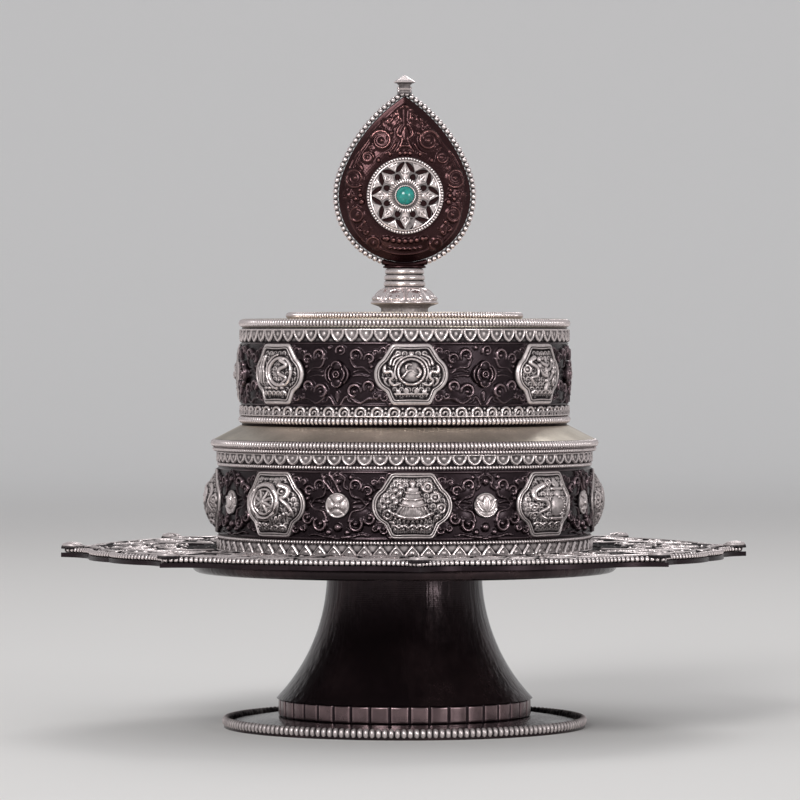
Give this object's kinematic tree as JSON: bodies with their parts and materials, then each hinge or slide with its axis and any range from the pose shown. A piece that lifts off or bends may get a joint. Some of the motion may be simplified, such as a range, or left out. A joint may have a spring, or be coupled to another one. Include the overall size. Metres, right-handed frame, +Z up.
{
  "type": "mandala offering plate",
  "caption": "Footed mandala offering plate with a petalled silver tray, dark drum tiers with silver medallions, and a leaf finial with a turquoise wheel.",
  "frame": {"origin": "centre of the foot's underside", "axes": "+Z up along the axis that the tiers are stacked on, -Y towards the front that the picture shows, +X to the right in the picture"},
  "size_m": [0.2744, 0.2744, 0.2605],
  "materials": {
    "antique_silver": "oxidised silver, bright on the high spots",
    "dark_copper": "dark patinated copper, satin",
    "black_copper": "black patinated copper, satin",
    "satin_silver": "satin grey silver",
    "plain_copper": "plain copper, dull",
    "turquoise": "polished turquoise"
  },
  "bodies": {
    "stand": {"foot_disc": "black_copper", "foot_rim_wire": "antique_silver", "panel_collar": "dark_copper", "stem": "black_copper", "stem_plug": "plain_copper", "pan": "black_copper", "pan_rivet": "plain_copper", "rivet_burr": "plain_copper"},
    "tray": {"petal_plate": "dark_copper", "petal_overlay": "antique_silver", "petal_edge_wire": "antique_silver", "petal_tips": "antique_silver", "plate_register": "plain_copper"},
    "lower_tier": {"lower_wall": "dark_copper", "lower_base_strip": "antique_silver", "lower_fine_wires": "antique_silver", "lower_top_strip": "antique_silver", "lower_cornice": "dark_copper", "lower_rim_wire": "antique_silver", "lower_shoulder": "satin_silver", "lower_rosettes": "antique_silver", "medallion_parasol": "antique_silver", "medallion_vase": "antique_silver", "medallion_lotus": "antique_silver", "medallion_knot": "antique_silver", "medallion_fish": "antique_silver", "medallion_banner": "antique_silver", "medallion_conch": "antique_silver", "medallion_wheel": "antique_silver"},
    "upper_tier": {"upper_wall": "dark_copper", "upper_base_wire": "antique_silver", "upper_base_strip": "antique_silver", "upper_top_strip": "antique_silver", "upper_deck": "satin_silver", "upper_rim_wire": "antique_silver", "upper_flowers": "dark_copper", "emblem_jewel": "antique_silver", "emblem_coral": "antique_silver", "emblem_tusks": "antique_silver", "emblem_horn": "antique_silver", "emblem_earrings": "antique_silver", "emblem_gems": "antique_silver", "emblem_disc": "antique_silver"},
    "top_cap": {"top_disc": "satin_silver", "top_wire": "antique_silver", "finial_socket": "plain_copper"},
    "finial": {"finial_peg": "plain_copper", "lotus_base": "antique_silver", "neck_rings": "antique_silver", "leaf_plate": "dark_copper", "leaf_front": "dark_copper", "leaf_back": "dark_copper", "leaf_wire": "antique_silver", "wheel_front": "antique_silver", "wheel_back": "antique_silver", "bezels": "antique_silver", "turquoises": "turquoise", "apex_cap": "antique_silver"}
  },
  "joints": [
    {"name": "tray_lift", "type": "slide", "parent": "stand", "child": "tray", "axis": [0, 0, 1], "range_m": [0, 0.02]},
    {"name": "lower_tier_lift", "type": "slide", "parent": "tray", "child": "lower_tier", "axis": [0, 0, 1], "range_m": [0, 0.03]},
    {"name": "upper_tier_lift", "type": "slide", "parent": "lower_tier", "child": "upper_tier", "axis": [0, 0, 1], "range_m": [0, 0.03]},
    {"name": "top_cap_lift", "type": "slide", "parent": "upper_tier", "child": "top_cap", "axis": [0, 0, 1], "range_m": [0, 0.025]},
    {"name": "finial_lift", "type": "slide", "parent": "top_cap", "child": "finial", "axis": [0, 0, 1], "range_m": [0, 0.025]}
  ]
}
